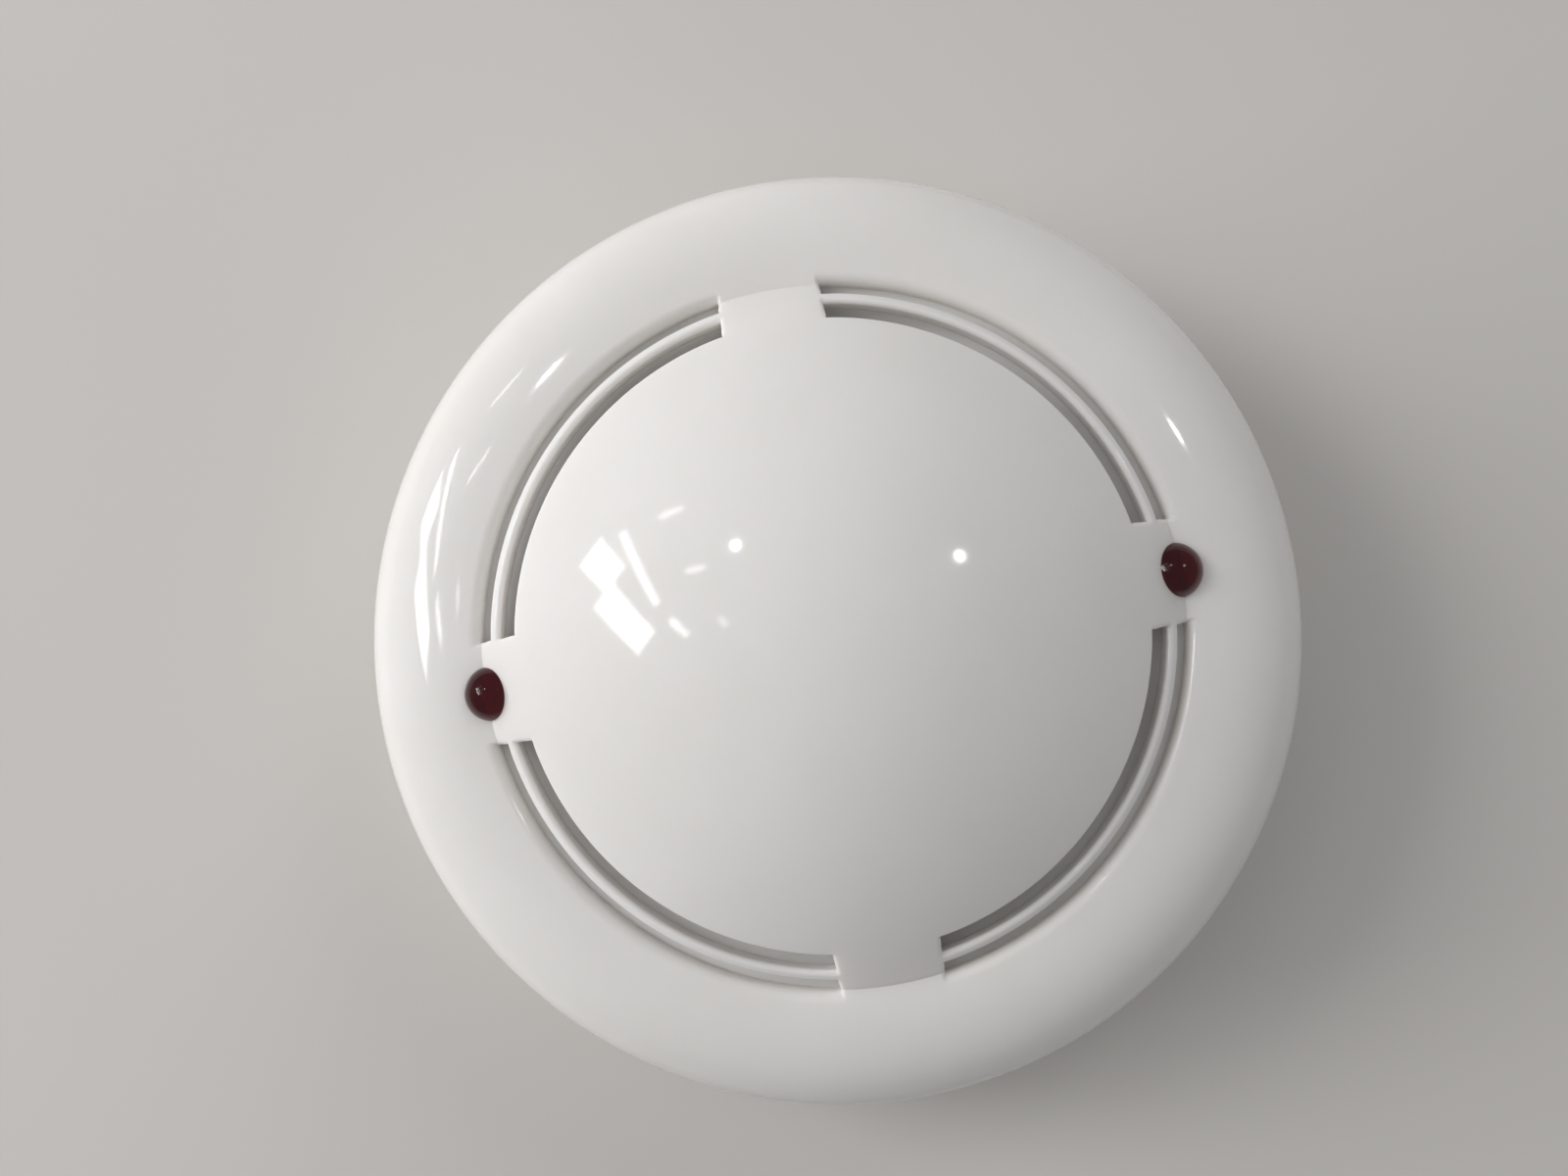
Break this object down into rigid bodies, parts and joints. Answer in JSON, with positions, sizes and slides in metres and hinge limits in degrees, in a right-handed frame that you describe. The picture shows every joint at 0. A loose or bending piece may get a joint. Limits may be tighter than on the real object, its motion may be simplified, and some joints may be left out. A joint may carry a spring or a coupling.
{
  "type": "heat detector",
  "caption": "Round plug-in heat detector: domed cap with louvred air windows over a rolled body, red indicator lenses, and a bayonet head in a slotted ceiling base.",
  "frame": {"origin": "centre of the base's mounting face, which goes against the ceiling", "axes": "+Z out of the ceiling through the domed cap; the two indicator lenses lie on the X axis"},
  "size_m": [0.104, 0.104, 0.0416],
  "materials": {
    "base_shell": "moulded ABS, satin gloss",
    "cover_shell": "moulded ABS, high gloss, warm white",
    "chassis_shell": "moulded glass-filled plastic, satin",
    "baffle_shell": "moulded ABS, satin",
    "lens_red": "dark red polycarbonate, polished",
    "spring_brass": "rolled phosphor bronze",
    "blade_brass": "plated brass blade",
    "plated_steel": "zinc-plated steel",
    "screw_steel": "zinc-plated steel",
    "board_laminate": "glass-epoxy laminate with green solder mask",
    "bead_epoxy": "dipped black epoxy",
    "tinned_wire": "tinned copper",
    "diode_body": "moulded diode body",
    "chip_epoxy": "black moulding compound",
    "can_aluminium": "drawn aluminium can",
    "capacitor_body": "moulded ochre resin",
    "reed_glass": "clear green glass tube"
  },
  "bodies": {
    "base": {"mounting_base": "base_shell", "contact_spring_1": "spring_brass", "contact_spring_2": "spring_brass", "contact_spring_3": "spring_brass", "contact_spring_4": "spring_brass", "clamp_plate_1": "plated_steel", "clamp_plate_2": "plated_steel", "clamp_plate_3": "plated_steel", "clamp_plate_4": "plated_steel", "terminal_screws": "screw_steel"},
    "head": {"cover": "cover_shell", "chassis": "chassis_shell", "cover_screws": "screw_steel", "contact_blade_1": "blade_brass", "contact_blade_2": "blade_brass", "contact_blade_3": "blade_brass", "contact_blade_4": "blade_brass", "blade_rivets": "plated_steel", "circuit_board": "board_laminate", "board_screws": "screw_steel", "sensor_baffle": "baffle_shell", "sensing_thermistor": "bead_epoxy", "sensing_leads": "tinned_wire", "reference_thermistor": "bead_epoxy", "reference_leads": "tinned_wire", "led_left": "diode_body", "led_right": "diode_body", "lens_left": "lens_red", "lens_right": "lens_red", "controller_chip": "chip_epoxy", "comparator_chip": "chip_epoxy", "chip_legs": "tinned_wire", "bridge_rectifier": "chip_epoxy", "surge_suppressor": "chip_epoxy", "smoothing_capacitor": "can_aluminium", "line_capacitor": "capacitor_body", "chip_resistors": "chip_epoxy", "test_reed_switch": "reed_glass", "reed_leads": "tinned_wire"}
  },
  "joints": [
    {"name": "bayonet_turn", "type": "hinge", "parent": "base", "child": "head", "pos_m": [0, 0, 0], "axis": [0, 0, 1], "range_deg": [0, 18]}
  ]
}
